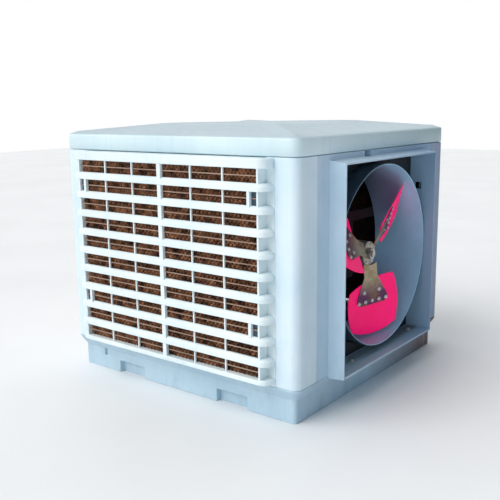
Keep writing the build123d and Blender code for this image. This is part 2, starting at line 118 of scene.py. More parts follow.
# ---- Materials ------------------------------------------------------------------------------
class Nodes:
    """Small helper that adds and links the nodes of one material."""

    def __init__(self, name):
        self.material = bpy.data.materials.new(name)
        self.material.use_nodes = True
        self.tree = self.material.node_tree
        self.shader = self.tree.nodes["Principled BSDF"]
        self.coords = self.add("ShaderNodeTexCoord").outputs["Object"]

    def add(self, kind, **values):
        node = self.tree.nodes.new(kind)
        for key, value in values.items():
            setattr(node, key, value)
        return node

    def link(self, source, target):
        self.tree.links.new(source, target)

    def noise(self, scale, detail=3.0, stretch=(1, 1, 1), rough=0.5):
        """Noise between 0 and 1 over the object's coordinates."""
        mapping = self.add("ShaderNodeMapping")
        mapping.inputs["Scale"].default_value = stretch
        self.link(self.coords, mapping.inputs["Vector"])
        node = self.add("ShaderNodeTexNoise")
        node.inputs["Scale"].default_value = scale
        node.inputs["Detail"].default_value = detail
        node.inputs["Roughness"].default_value = rough
        self.link(mapping.outputs["Vector"], node.inputs["Vector"])
        return node.outputs["Fac"]

    def span(self, value, low, high, to_low=0.0, to_high=1.0):
        """value mapped from low..high to to_low..to_high, clamped."""
        node = self.add("ShaderNodeMapRange")
        limits = {"From Min": low, "From Max": high, "To Min": to_low, "To Max": to_high}
        for key, number in limits.items():
            node.inputs[key].default_value = number
        self.link(value, node.inputs["Value"])
        return node.outputs["Result"]

    def mix(self, factor, first, second, blend="MIX"):
        """Colour mix; each input is a socket or a colour."""
        node = self.add("ShaderNodeMix", data_type="RGBA", blend_type=blend)
        self.put(factor, node.inputs["Factor"])
        self.put(first, node.inputs[6])
        self.put(second, node.inputs[7])
        return node.outputs[2]

    def put(self, value, target):
        if isinstance(value, bpy.types.NodeSocket):
            self.link(value, target)
        elif isinstance(value, (int, float)):
            target.default_value = value
        else:
            target.default_value = (*value[:3], 1.0)

    def along(self, axis):
        """Object coordinate along X, Y or Z."""
        node = self.add("ShaderNodeSeparateXYZ")
        self.link(self.coords, node.inputs["Vector"])
        return node.outputs[axis]

    def upward(self):
        """How far a face looks up: 1 on a level top, 0 on an upright face."""
        node = self.add("ShaderNodeSeparateXYZ")
        self.link(self.add("ShaderNodeNewGeometry").outputs["Normal"], node.inputs["Vector"])
        return node.outputs["Z"]

    def from_axis(self):
        """Distance from the fan's axis."""
        offset = self.add("ShaderNodeVectorMath", operation="SUBTRACT")
        self.link(self.coords, offset.inputs[0])
        offset.inputs[1].default_value = AXIS
        flat = self.add("ShaderNodeVectorMath", operation="MULTIPLY")
        self.link(offset.outputs[0], flat.inputs[0])
        flat.inputs[1].default_value = (0, 1, 1)
        length = self.add("ShaderNodeVectorMath", operation="LENGTH")
        self.link(flat.outputs[0], length.inputs[0])
        return length.outputs["Value"]

    def product(self, first, second):
        node = self.add("ShaderNodeMath", operation="MULTIPLY")
        self.link(first, node.inputs[0])
        self.link(second, node.inputs[1])
        return node.outputs[0]

    def bump(self, height, distance, strength=1.0, below=None):
        node = self.add("ShaderNodeBump")
        node.inputs["Distance"].default_value = distance
        node.inputs["Strength"].default_value = strength
        self.link(height, node.inputs["Height"])
        if below is not None:
            self.link(below, node.inputs["Normal"])
        self.link(node.outputs["Normal"], self.shader.inputs["Normal"])
        return node.outputs["Normal"]

    def finish(self, colour, roughness, **constants):
        self.put(colour, self.shader.inputs["Base Color"])
        self.put(roughness, self.shader.inputs["Roughness"])
        for key, value in constants.items():
            self.shader.inputs[key.replace("_", " ")].default_value = value
        return self.material


def moulded_plastic(name, colour, shade, grime=0.25, rough=(0.38, 0.55), bump=0.0004,
                    top_shade=None, fade=None):
    """Moulded plastic: cloudy colour, dust towards the ground, fine grain and gentle waviness.

    top_shade is painted shade: a greyer colour laid in patches on level faces. fade is shade painted on the fan's
    side, because the lights don't reach that tone: its colour, where along Y it starts and is full, and its X.
    """
    n = Nodes(name)
    cloud = n.span(n.noise(5.0, 4.0), 0.35, 0.7)
    base = n.mix(cloud, colour, shade)
    # painted shade: level faces turn greyer, in patches
    if top_shade:
        patchy = n.span(n.noise(3.5, 5.0, (1, 1, 1), 0.6), 0.3, 0.7, 0.82, 1.0)
        base = n.mix(n.product(n.span(n.upward(), 0.55, 0.97), patchy), base, top_shade)
    if fade:
        tone, start, end, side_x = fade
        side = n.span(n.along("X"), side_x - 0.03, side_x)
        base = n.mix(n.product(n.span(n.along("Y"), start, end), side), base, tone)
    dust = n.span(n.noise(22.0, 6.0, (1, 1, 0.35), 0.65), 0.52, 0.78, 0.0, grime)
    streaks = n.span(n.noise(34.0, 3.0, (1, 1, 0.03), 0.6), 0.50, 0.75, 0.0, 0.22)
    base = n.mix(streaks, base, [c * f for c, f in zip(shade, (0.80, 0.84, 0.88))])
    low = n.span(n.along("Z"), 0.0, 0.55, 1.0, 0.25)
    base = n.mix(n.product(dust, low), base, [c * f for c, f in zip(shade, (0.62, 0.60, 0.56))])
    wavy = n.bump(n.noise(9.0, 2.0), bump * 6, 0.35)
    n.bump(n.noise(900.0, 2.0), bump, 0.5, wavy)
    return n.finish(base, n.span(n.noise(30.0, 3.0), 0.3, 0.7, *rough))


def cellulose(name, bright, dark):
    """Resin-soaked cellulose paper: brown, blotched by scale, matt."""
    n = Nodes(name)
    fibre = n.span(n.noise(260.0, 4.0, (1, 1, 0.3)), 0.35, 0.7)
    blotch = n.span(n.noise(26.0, 3.0), 0.38, 0.66)
    base = n.mix(fibre, dark, bright)
    base = n.mix(blotch, base, [c * 0.5 for c in dark], "MULTIPLY")
    n.bump(n.noise(700.0, 3.0), 0.0006, 0.8)
    return n.finish(base, n.span(fibre, 0.0, 1.0, 0.8, 0.97))


def galvanised(name, tone, metallic=0.85, film=(0.20, 0.15, 0.09), outer=None):
    """Zinc-coated steel with its crystal spangle and a dull film.

    outer is a purple tone painted on the fan's arms far from the axis, a painted reflection of the pink blades.
    """
    n = Nodes(name)
    cells = n.add("ShaderNodeTexVoronoi")
    cells.inputs["Scale"].default_value = 90.0
    n.link(n.coords, cells.inputs["Vector"])
    spangle = n.add("ShaderNodeSeparateColor")
    n.link(cells.outputs["Color"], spangle.inputs["Color"])
    flake = n.span(spangle.outputs[0], 0.0, 1.0)
    # painted reflection: the arms turn purple away from the axis, where the pink blades reflect in them
    if outer:
        tone = n.mix(n.span(n.from_axis(), 0.10, 0.17), tone, outer)
    base = n.mix(flake, n.mix(0.28, tone, (0, 0, 0)), tone)
    stain = n.span(n.noise(18.0, 5.0), 0.5, 0.75)
    base = n.mix(stain, base, film)
    n.bump(n.noise(300.0, 3.0), 0.0003, 0.4)
    return n.finish(base, n.span(flake, 0.0, 1.0, 0.32, 0.52), Metallic=metallic)


def painted_metal(name, colour, rough=(0.35, 0.5), chips=0.10, shadow=None):
    """Sheet metal under paint, with orange peel and dull patches.

    shadow is shade painted on the fan ring: outside, and inside towards its back and top.
    """
    n = Nodes(name)
    cloud = n.span(n.noise(7.0, 4.0), 0.3, 0.75)
    base = n.mix(cloud, colour, [c * 0.82 for c in colour])
    if shadow:
        back = n.product(n.span(n.along("X"), 0.36, 0.53, 1.0, 0.0), n.span(n.along("Z"), 0.45, 0.80))
        base = n.mix(back, base, shadow)
        base = n.mix(n.span(n.from_axis(), 0.3375, 0.3390), base, shadow)
    dust = n.span(n.noise(40.0, 6.0), 0.55, 0.8, 0.0, chips)
    base = n.mix(dust, base, (0.30, 0.27, 0.22))
    n.bump(n.noise(420.0, 2.0), 0.0003, 0.35)
    return n.finish(base, n.span(n.noise(25.0), 0.3, 0.7, *rough))


GLOW = (0.95, 0.004, 0.17)     # faint light of the blades, which keeps their pink saturated


def blade_paint(name, colour, deep):
    """Bright pink moulded blade: a faint glow, thin dust and flow marks."""
    n = Nodes(name)
    flow = n.span(n.noise(14.0, 4.0, (1, 1, 1), 0.6), 0.3, 0.75)
    base = n.mix(flow, colour, deep)
    dust = n.span(n.noise(60.0, 6.0), 0.6, 0.85, 0.0, 0.22)
    base = n.mix(dust, base, [c * 0.35 for c in deep])
    n.bump(n.noise(240.0, 2.0), 0.0003, 0.3)
    n.put(GLOW, n.shader.inputs["Emission Color"])
    roughness = n.span(n.noise(35.0), 0.3, 0.7, 0.38, 0.55)
    return n.finish(base, roughness, Specular_IOR_Level=0.3, Emission_Strength=0.42)


def still_water(name):
    """Still, slightly cloudy water."""
    n = Nodes(name)
    tint = n.mix(n.span(n.noise(3.0), 0.3, 0.7), (0.045, 0.075, 0.080), (0.070, 0.085, 0.070))
    n.bump(n.noise(30.0, 2.0), 0.0008, 0.4)
    return n.finish(tint, n.span(n.noise(8.0), 0.3, 0.7, 0.04, 0.09), IOR=1.333)


def floor_finish(name):
    """Plain pale floor."""
    n = Nodes(name)
    base = n.mix(n.span(n.noise(1.2, 3.0), 0.35, 0.65), (0.86, 0.87, 0.88), (0.83, 0.84, 0.85))
    n.bump(n.noise(160.0, 3.0), 0.0004, 0.2)
    return n.finish(base, n.span(n.noise(6.0), 0.3, 0.7, 0.55, 0.7))


FINISH = {
    "cabinet": moulded_plastic("cabinet_plastic", (0.74, 0.86, 0.93), (0.64, 0.79, 0.89),
                               fade=((0.26, 0.33, 0.47), -0.15, 0.50, 0.545)),
    # painted shade: the fan panel's base colour is darker and bluer than the cabinet's to stand for the shade on
    # the fan's side
    "panel": moulded_plastic("panel_plastic", (0.56, 0.70, 0.82), (0.47, 0.63, 0.76), 0.4,
                             fade=((0.25, 0.40, 0.58), -0.25, 0.42, 0.45)),
    "louvre": moulded_plastic("louvre_plastic", (0.82, 0.90, 0.92), (0.72, 0.84, 0.88), 0.35),
    "rib": moulded_plastic("rib_plastic", (0.40, 0.27, 0.20), (0.28, 0.17, 0.12), 0.4),
    # painted shade: dark plates in the latch pockets
    "pocket": moulded_plastic("latch_pocket_painted_shade", (0.050, 0.085, 0.115), (0.030, 0.055, 0.080)),
    "basin": moulded_plastic("basin_plastic", (0.50, 0.66, 0.76), (0.42, 0.58, 0.69), 0.5,
                             fade=((0.125, 0.075, 0.078), -0.05, 0.45, 0.515)),
    # painted shade: the lid's level faces take a greyer tone, its fan's side a darker one
    "lid": moulded_plastic("lid_plastic", (0.70, 0.84, 0.88), (0.62, 0.77, 0.83), 0.3,
                           top_shade=(0.43, 0.54, 0.60), fade=((0.44, 0.58, 0.60), -0.30, 0.50, 0.55)),
    "pad": cellulose("pad_paper", (0.80, 0.36, 0.17), (0.13, 0.055, 0.032)),
    # painted shade: the pad's core is near-black where the depth of the pad lies in shade
    "pad_core": cellulose("pad_core_painted_shade", (0.060, 0.028, 0.010), (0.020, 0.009, 0.004)),
    "duct": painted_metal("duct_metal", (0.38, 0.72, 0.95), shadow=(0.020, 0.045, 0.070)),
    # painted shade: the orifice plate is near-black where the recess round the fan lies in shadow
    "plate": painted_metal("plate_painted_shade", (0.009, 0.016, 0.022), (0.55, 0.7), 0.03),
    # painted shade: the motor bracket is near-black where the fan's inside lies in shade
    "bracket": painted_metal("bracket_painted_shade", (0.004, 0.004, 0.005), (0.7, 0.85), 0.02),
    "steel": galvanised("galvanised_steel", (0.50, 0.45, 0.38)),
    # the arms' purple outer tone is a painted reflection of the blades
    "arm": galvanised("arm_steel_painted_reflection", (0.52, 0.43, 0.29), 0.6, (0.27, 0.18, 0.05), (0.15, 0.050, 0.14)),
    "bright_steel": galvanised("turned_steel", (0.62, 0.61, 0.58), 1.0),
    "zinc": galvanised("zinc_bolts", (0.80, 0.79, 0.76), 0.7, (0.55, 0.52, 0.45)),
    # painted shade: the motor is near-black where the fan's inside lies in shade
    "motor": painted_metal("motor_painted_shade", (0.006, 0.007, 0.009), (0.5, 0.65), 0.04),
    "blade": blade_paint("blade_pink", (0.93, 0.006, 0.15), (0.76, 0.003, 0.090)),
    "pipe": moulded_plastic("pipe_plastic", (0.30, 0.31, 0.32), (0.24, 0.25, 0.27)),
    "pump": moulded_plastic("pump_plastic", (0.020, 0.045, 0.12), (0.015, 0.030, 0.08)),
    "water": still_water("basin_water"),
}


# ---- Mesh helpers ---------------------------------------------------------------------------
class Shape:
    """Collects vertices and faces, then becomes one piece."""

    def __init__(self):
        self.verts = []
        self.faces = []

    def add(self, verts, faces):
        start = len(self.verts)
        self.verts += [Vector(v) for v in verts]
        self.faces += [[start + i for i in face] for face in faces]

    def box(self, low, high):
        corners = [(x, y, z) for x in (low[0], high[0])
                   for y in (low[1], high[1])
                   for z in (low[2], high[2])]
        self.add(corners, [(0, 1, 3, 2), (4, 6, 7, 5), (0, 4, 5, 1),
                           (2, 3, 7, 6), (0, 2, 6, 4), (1, 5, 7, 3)])

    def rings(self, rings, closed_ends=True, loop=False):
        """Skin over equal rings of points."""
        count = len(rings[0])
        start = len(self.verts)
        self.verts += [Vector(p) for ring in rings for p in ring]
        last = len(rings) if loop else len(rings) - 1
        for r in range(last):
            a, b = start + r * count, start + ((r + 1) % len(rings)) * count
            self.faces += [[a + i, a + (i + 1) % count, b + (i + 1) % count, b + i] for i in range(count)]
        if closed_ends and not loop:
            self.faces.append([start + i for i in reversed(range(count))])
            end = start + (len(rings) - 1) * count
            self.faces.append([end + i for i in range(count)])

    def piece(self, name, finish, matrix=None):
        mesh = bpy.data.meshes.new(name)
        mesh.from_pydata([tuple(v) for v in self.verts], [], self.faces)
        mesh.update()
        if matrix is not None:
            mesh.transform(matrix)
        return dressed(name, mesh, finish)


def dressed(name, mesh, finish):
    """Object for a mesh, with its finish and faces turned outwards."""
    bm = bmesh.new()
    bm.from_mesh(mesh)
    bmesh.ops.recalc_face_normals(bm, faces=bm.faces)
    for face in bm.faces:
        face.smooth = True
    bm.to_mesh(mesh)
    bm.free()
    mesh.materials.clear()
    mesh.materials.append(FINISH[finish])
    piece = bpy.data.objects.new(name, mesh)
    bpy.context.scene.collection.objects.link(piece)
    return piece


def rounded(piece, width, segments=2, angle=30.0):
    """Rounds a piece's edges."""
    bevel = piece.modifiers.new("round", "BEVEL")
    bevel.width = width
    bevel.segments = segments
    bevel.limit_method = "ANGLE"
    bevel.angle_limit = math.radians(angle)
    bevel.use_clamp_overlap = True
    normals = piece.modifiers.new("normals", "WEIGHTED_NORMAL")
    normals.keep_sharp = True
    return piece


def placed(piece, body, slot, *nodes):
    """Makes a piece ride and lets it stand for CAD nodes; its slot is not used."""
    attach(piece, body)
    if nodes:
        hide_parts(*nodes)
    return piece


def softened(node, name, width, finish=None, body="housing", segments=2):
    """Copy of a CAD node with rounded edges, which stands for it."""
    mesh = frame["nodes"][node].data.copy()
    bm = bmesh.new()
    bm.from_mesh(mesh)
    bmesh.ops.remove_doubles(bm, verts=bm.verts, dist=1e-6)
    bmesh.ops.dissolve_limit(bm, angle_limit=math.radians(0.5), verts=bm.verts, edges=bm.edges)
    bm.to_mesh(mesh)
    bm.free()
    piece = dressed(name, mesh, finish or SLOT_OF[node])
    return placed(rounded(piece, width, segments), body, SLOT_OF[node], node)


def rounded_rectangle(half_x, half_y, radius, z, per_side=1, per_corner=8):
    """Ring of points at height z, counter-clockwise, starting on the +X side."""
    points = []
    centres = ((1, 1, 0), (-1, 1, 90), (-1, -1, 180), (1, -1, 270))
    for number, (sx, sy, start) in enumerate(centres):
        cx, cy = sx * (half_x - radius), sy * (half_y - radius)
        for step in range(per_corner + 1):
            angle = math.radians(start + 90 * step / per_corner)
            points.append((cx + radius * math.cos(angle), cy + radius * math.sin(angle), z))
        nx, ny, next_start = centres[(number + 1) % 4]
        angle = math.radians(next_start)
        target = (nx * (half_x - radius) + radius * math.cos(angle),
                  ny * (half_y - radius) + radius * math.sin(angle))
        here = points[-1]
        for step in range(1, per_side):
            t = step / per_side
            points.append((here[0] + (target[0] - here[0]) * t, here[1] + (target[1] - here[1]) * t, z))
    return points


# ---- Louvred sides --------------------------------------------------------------------------
SIDES = {"front": (0, HALF_X, HALF_Y), "left": (-90, HALF_Y, HALF_X), "back": (180, HALF_X, HALF_Y)}


def side_matrix(side):
    return Matrix.Rotation(math.radians(SIDES[side][0]), 4, "Z")


BAND_DEPTH = 0.017         # section of a wrapped band, from the outline inwards
SLAT_SECTION = ((BAND_DEPTH, 0.0220), (0.0115, 0.0220), (0.0040, 0.0145), (0.0040, 0.0010),
                (0.0032, 0.0), (0.0009, 0.0), (0.0, 0.0009), (0.0, 0.0150), (0.0009, 0.0170),
                (0.0090, 0.0252), (0.0112, 0.0260), (BAND_DEPTH, 0.0260))   # inset, height
CORNER_STEPS = 7


def bar_section(height):
    """Section of the solid bars at the head and foot of a louvre."""
    soft = 0.0020
    return ((BAND_DEPTH, 0.0), (soft, 0.0), (0.0, soft),
            (0.0, height - soft), (soft, height), (BAND_DEPTH, height))


def wrapped_band(shape, half, half_depth, z, section):
    """Band along the front of a louvre that turns back to the body at both ends."""
    centre_x, centre_y = half - BAR_CORNER_R, -half_depth - PROUD + BAR_CORNER_R
    stations = [(-centre_x, -half_depth, -1, 0)]
    for step in range(CORNER_STEPS + 1):
        angle = math.radians(180 + 90 * step / CORNER_STEPS)
        stations.append((-centre_x, centre_y, math.cos(angle), math.sin(angle)))
    for step in range(CORNER_STEPS + 1):
        angle = math.radians(270 + 90 * step / CORNER_STEPS)
        stations.append((centre_x, centre_y, math.cos(angle), math.sin(angle)))
    stations.append((centre_x, -half_depth, 1, 0))
    rings = [[(x + (BAR_CORNER_R - inset) * out_x, y + (BAR_CORNER_R - inset) * out_y, z + height)
              for inset, height in section] for x, y, out_x, out_y in stations]
    shape.rings(rings)


def louvre_grid(side):
    """Places shared by the pieces of one louvre."""
    low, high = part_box(f"{side}_louvre")
    half = ((high.x - low.x) if side != "left" else (high.y - low.y)) / 2
    bottom, top = BASE_H + SILL_H, LID_Z - HEAD_GAP
    return {"half": half, "opening": half - FLANGE_W - CASE_T, "front": -SIDES[side][2] - PROUD,
            "bottom": bottom, "top": top, "strip_top": bottom + STRIP_H, "head_bottom": top - HEAD_H,
            "pitch": (top - bottom - HEAD_H - STRIP_H + SLAT_H) / ROWS}


def louvre(side):
    """Louvre frame of one side."""
    grid = louvre_grid(side)
    half_depth = SIDES[side][2]
    slats = Shape()
    for row in range(1, ROWS):
        z = grid["head_bottom"] - row * grid["pitch"]
        wrapped_band(slats, grid["half"], half_depth, z, SLAT_SECTION)
        for end in (-1, 1):
            inner, outer = end * (grid["opening"] + CASE_T - 0.001), end * (grid["half"] - 0.014)
            slats.box((min(inner, outer), grid["front"] + 0.016, z + SLAT_H - 0.004),
                      (max(inner, outer), -half_depth, z + SLAT_H - 0.0003))
    piece = slats.piece(f"{side}_slats", "louvre", side_matrix(side))
    placed(rounded(piece, 0.0006, 1, 50), "housing", "cabinet")
    louvre_case(side, grid, half_depth)
    louvre_bars(side, grid)
    latch_pockets(side, grid)


def louvre_case(side, grid, half_depth):
    """Head and foot bars, the case's four walls and the flange between the posts."""
    half, opening, front = grid["half"], grid["opening"], grid["front"]
    shape = Shape()
    for low, high in ((grid["bottom"], grid["strip_top"]), (grid["head_bottom"], grid["top"])):
        wrapped_band(shape, half, half_depth, low, bar_section(high - low))
        shape.box((-half + 0.016, front + 0.016, low), (half - 0.016, -half_depth + FLANGE_T, high))
    back = -half_depth + FLANGE_T
    for end in (-1, 1):
        inner, middle, outer = end * opening, end * (opening + CASE_T), end * half
        shape.box((min(inner, middle), front + CASE_SET_BACK, grid["bottom"] + 0.001),
                  (max(inner, middle), back - 0.001, grid["top"] - 0.001))
        shape.box((min(middle, outer), -half_depth, BASE_H), (max(middle, outer), back, LID_Z))
    piece = shape.piece(f"{side}_case", "louvre", side_matrix(side))
    placed(rounded(piece, 0.0015), "housing", "cabinet")


def louvre_bars(side, grid):
    """Fins, ribs and latches in front of the pad."""
    opening, front, pitch = grid["opening"], grid["front"], grid["pitch"]
    shape = Shape()
    for number in range(1, COLUMNS):
        middle = 2 * number == COLUMNS
        half, depth = (MIDDLE_FIN_T / 2, MIDDLE_FIN_D) if middle else (FIN_T / 2, FIN_D)
        x = opening * (2 * number / COLUMNS - 1)
        shape.box((x - half, front + FIN_BACK - depth, grid["strip_top"] - 0.002),
                  (x + half, front + FIN_BACK, grid["head_bottom"] + 0.002))
    for row in LATCH_ROWS:
        row_top = grid["head_bottom"] - row * pitch
        for x in (LATCH_FROM_EDGE - opening, opening - LATCH_FROM_EDGE):
            foot = row_top - pitch + SLAT_H - 0.004
            shape.box((x - LATCH_W / 2, front + FIN_BACK - MIDDLE_FIN_D, foot),
                      (x + LATCH_W / 2, front + FIN_BACK, row_top + 0.004))
    bars = rounded(shape.piece(f"{side}_bars", "louvre", side_matrix(side)), 0.0010)
    placed(bars, "housing", "cabinet", f"{side}_louvre")
    shape = Shape()
    for row in range(ROWS):
        middle = grid["head_bottom"] - row * pitch - (pitch - SLAT_H) / 2
        shape.box((-opening - 0.002, front + FIN_BACK - RIB_D, middle - RIB_H / 2),
                  (opening + 0.002, front + FIN_BACK, middle + RIB_H / 2))
    placed(rounded(shape.piece(f"{side}_ribs", "rib", side_matrix(side)), 0.0008), "housing", "cabinet")


def latch_pockets(side, grid):
    """Plates behind the latches, between the case's side and the latch bar, coloured dark as painted shade in the
    pockets.
    """
    opening, front, pitch = grid["opening"], grid["front"], grid["pitch"]
    shape = Shape()
    for row in LATCH_ROWS:
        row_top = grid["head_bottom"] - row * pitch
        for end in (-1, 1):
            inner, outer = end * (opening - LATCH_FROM_EDGE), end * opening
            shape.box((min(inner, outer), front + FIN_BACK + 0.0005, row_top - pitch + SLAT_H - 0.002),
                      (max(inner, outer), front + FIN_BACK + 0.003, row_top + 0.002))
    piece = shape.piece(f"{side}_latch_pockets", "pocket", side_matrix(side))
    placed(rounded(piece, 0.0006), "housing", "cabinet")


# ---- Pads -----------------------------------------------------------------------------------
PAD_SHEET_GAP = 0.0088     # one corrugated sheet to the next
PAD_WAVE = 0.0200          # length of a flute along the face
PAD_WAVE_STEPS = 6
PAD_FACE_DEPTH = 0.016     # how deep the sheets are modelled
PAD_SHEET_T = 0.0011


def cooling_pad(side):
    """Corrugated pad: wavy sheets at the face, behind them a core coloured near-black as painted shade deep in the
    pad.
    """
    low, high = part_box(f"{side}_pad")
    across = 0 if side != "left" else 1
    half = (high[across] - low[across]) / 2
    front = -max(abs(low[1 - across]), abs(high[1 - across]))
    thick = min(high[0] - low[0], high[1] - low[1])
    bottom, top = low.z, high.z
    sheets = round(2 * half / PAD_SHEET_GAP)
    steps = round((top - bottom) / PAD_WAVE * PAD_WAVE_STEPS)
    gap = 2 * half / sheets
    swing = gap * 0.46
    shape = Shape()
    for number in range(sheets):
        middle = -half + (number + 0.5) * gap
        lean = 1 if number % 2 else -1
        verts, faces = [], []
        shift = SEED.uniform(-0.15, 0.15)
        for step in range(steps + 1):
            z = bottom + (top - bottom) * step / steps
            for depth in (0.0, PAD_FACE_DEPTH):
                phase = 2 * math.pi * (z + lean * depth * 0.7) / PAD_WAVE
                phase = phase + math.pi * (number % 2) + shift
                x = middle + swing * math.sin(phase)
                x = max(-half + PAD_SHEET_T, min(half - PAD_SHEET_T, x))
                ragged = 0.0008 * math.sin(phase * 0.37) + 0.0008 if depth == 0 else 0
                verts.append((x, front + depth + ragged, z))
            if step:
                a = 2 * step
                faces.append((a - 2, a - 1, a + 1, a))
        shape.add(verts, faces)
    face = shape.piece(f"{side}_pad_face", "pad", side_matrix(side))
    solid = face.modifiers.new("paper", "SOLIDIFY")
    solid.thickness = PAD_SHEET_T
    solid.offset = 0
    placed(face, "housing", "pad")

    # the core's near-black colour is painted shade
    shape = Shape()
    shape.box((-half, front + PAD_FACE_DEPTH - 0.003, bottom), (half, front + thick, top))
    core = rounded(shape.piece(f"{side}_pad_core", "pad_core", side_matrix(side)), 0.002)
    placed(core, "housing", "pad", f"{side}_pad")


# ---- Base -----------------------------------------------------------------------------------
def cut(piece, cutter):
    """Takes cutter out of piece and drops it."""
    boolean = piece.modifiers.new("cut", "BOOLEAN")
    boolean.operation = "DIFFERENCE"
    boolean.solver = "EXACT"
    boolean.object = cutter
    bpy.context.view_layer.update()
    graph = bpy.context.evaluated_depsgraph_get()
    mesh = bpy.data.meshes.new_from_object(piece.evaluated_get(graph))
    piece.modifiers.remove(boolean)
    old = piece.data
    piece.data = mesh
    bpy.data.meshes.remove(old)
    bpy.data.objects.remove(cutter)
    return piece


def base_skirt():
    """One moulding: feet, skirt, slope and flange, with its recesses and the overflow slot."""
    inset_x, inset_y = HALF_X - BASE_INSET, HALF_Y - BASE_INSET
    set_in = BASE_INSET + RECESS_DEPTH
    inner_x, inner_y = HALF_X - set_in, HALF_Y - set_in
    profile = [(inset_x, inset_y, SKIRT_CORNER_R, 0.0), (inset_x, inset_y, SKIRT_CORNER_R, SKIRT_H),
               (HALF_X, HALF_Y, CORNER_R, SKIRT_H + BEVEL_H), (HALF_X, HALF_Y, CORNER_R, BASE_H),
               (inner_x, inner_y, 0.004, BASE_H), (inner_x, inner_y, 0.004, 0.0)]
    shape = Shape()
    shape.rings([rounded_rectangle(*ring, 12) for ring in profile], loop=True)
    skirt = shape.piece("base_skirt_moulding", "basin")
    cutters = Shape()
    for side in SIDES:
        turn = side_matrix(side)
        face = SIDES[side][2] - BASE_INSET
        for middle in (-RECESS_FROM_MIDDLE, RECESS_FROM_MIDDLE):
            recess = Shape()
            recess.box((middle - RECESS_W / 2, -face - 0.05, -0.05),
                       (middle + RECESS_W / 2, -face + RECESS_DEPTH + 0.01, RECESS_H))
            cutters.add([turn @ v for v in recess.verts], recess.faces)
    slot_w, slot_h, slot_z = DRAIN_SLOT
    slot_x = -HALF_X + DRAIN_SLOT_FROM_CORNER
    cutters.box((slot_x - slot_w / 2, -inset_y - 0.05, slot_z),
                (slot_x + slot_w / 2, -inset_y + DRAIN_SLOT_DEPTH, slot_z + slot_h))
    cut(skirt, cutters.piece("cutter", "basin"))
    rounded(skirt, 0.0035, 3)
    placed(skirt, "housing", "basin", "base_skirt", "base_feet")
    recess_backs()


def recess_backs():
    """Back wall of each recess, down to the ground."""
    backs = Shape()
    for side in SIDES:
        turn = side_matrix(side)
        depth = SIDES[side][2] - BASE_INSET - RECESS_DEPTH
        for middle in (-RECESS_FROM_MIDDLE, RECESS_FROM_MIDDLE):
            plate = Shape()
            plate.box((middle - RECESS_W / 2 - 0.002, -depth - 0.0030, 0.0002),
                      (middle + RECESS_W / 2 + 0.002, -depth, RECESS_H + 0.002))
            backs.add([turn @ v for v in plate.verts], plate.faces)
    placed(rounded(backs.piece("recess_backs", "basin"), 0.0006, 1), "housing", "basin")


def basin_water():
    """Water surface inside the basin."""
    low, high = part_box("base_basin")
    wall = BASIN_WALL + 0.0005
    shape = Shape()
    shape.box((low.x + wall, low.y + wall, WATER_Z - 0.004), (high.x - wall, high.y - wall, WATER_Z))
    placed(shape.piece("basin_water", "water"), "housing", "basin")


# ---- Lid ------------------------------------------------------------------------------------
LID_EDGE_R = 0.009
LID_FOOT = ((0.012, 0.0), (0.008, 0.0), (0.007, 0.003), (0.001, 0.0032), (0.0, 0.0042))     # inset, height
LID_RINGS = 26
LID_HIP_H = 0.005
LID_HIP_W = 0.045
LID_CROWN_SHARE = 0.5      # half size of the flat middle, as a share of the lid's


def lid():
    """Lid: shadow gap, upright skirt with a rolled edge, four slopes, soft hips and a flat crown."""
    slope_z = LID_Z + LID_SKIRT_H
    rings = [rounded_rectangle(HALF_X - inset, HALF_Y - inset, CORNER_R, LID_Z + height, 24)
             for inset, height in LID_FOOT]
    for step in range(6):
        angle = math.radians(90 * step / 5)
        inset = LID_EDGE_R * (1 - math.cos(angle))
        z = slope_z - LID_EDGE_R * (1 - math.sin(angle))
        rings.append(rounded_rectangle(HALF_X - inset, HALF_Y - inset, CORNER_R - inset, z, 24))
    for step in range(1, LID_RINGS + 1):
        t = step / LID_RINGS
        inset = LID_EDGE_R + (min(HALF_X, HALF_Y) - LID_EDGE_R - 0.02) * t
        half_x, half_y = HALF_X - inset, HALF_Y - inset
        radius = max(0.006, (CORNER_R - LID_EDGE_R) * (1 - t))
        plan = rounded_rectangle(half_x, half_y, radius, 0, 24)
        rings.append([(x, y, lid_height(x, y)) for x, y, _ in plan])
    shape = Shape()
    shape.rings(rings)
    cover = shape.piece("lid_cover", "lid")
    placed(cover, "housing", "lid", "top_cover")


def lid_height(x, y):
    """Height of the lid's top over a point of the plan."""
    slope_z = LID_Z + LID_SKIRT_H
    reach = max(abs(x) / HALF_X, abs(y) / HALF_Y)
    out = min(1.0, max(0.0, (1 - reach) / (1 - LID_CROWN_SHARE)))
    slope = LID_SLOPE_H * out
    crown = (LID_TOP - slope_z - LID_SLOPE_H) * max(0.0, 1 - reach / LID_CROWN_SHARE)
    off = abs(abs(x) / HALF_X - abs(y) / HALF_Y) * min(HALF_X, HALF_Y) / math.sqrt(2)
    fade = min(1.0, (1 - reach) / 0.06) * min(1.0, reach / 0.15)
    hip = LID_HIP_H * math.exp(-(off / LID_HIP_W) ** 2) * fade
    return min(LID_TOP, slope_z + slope + crown + hip)


# ---- Fan side -------------------------------------------------------------------------------
def lathe(name, finish, profile, segments=128):
    """Turns (x, r) points round the fan's axis."""
    shape = Shape()
    rings = []
    for x, r in profile:
        angles = [2 * math.pi * i / segments for i in range(segments)]
        rings.append([(x, r * math.cos(angle), AXIS.z + r * math.sin(angle)) for angle in angles])
    shape.rings(rings, closed_ends=profile[0][1] > 0 and profile[0] != profile[-1])
    return shape.piece(name, finish)


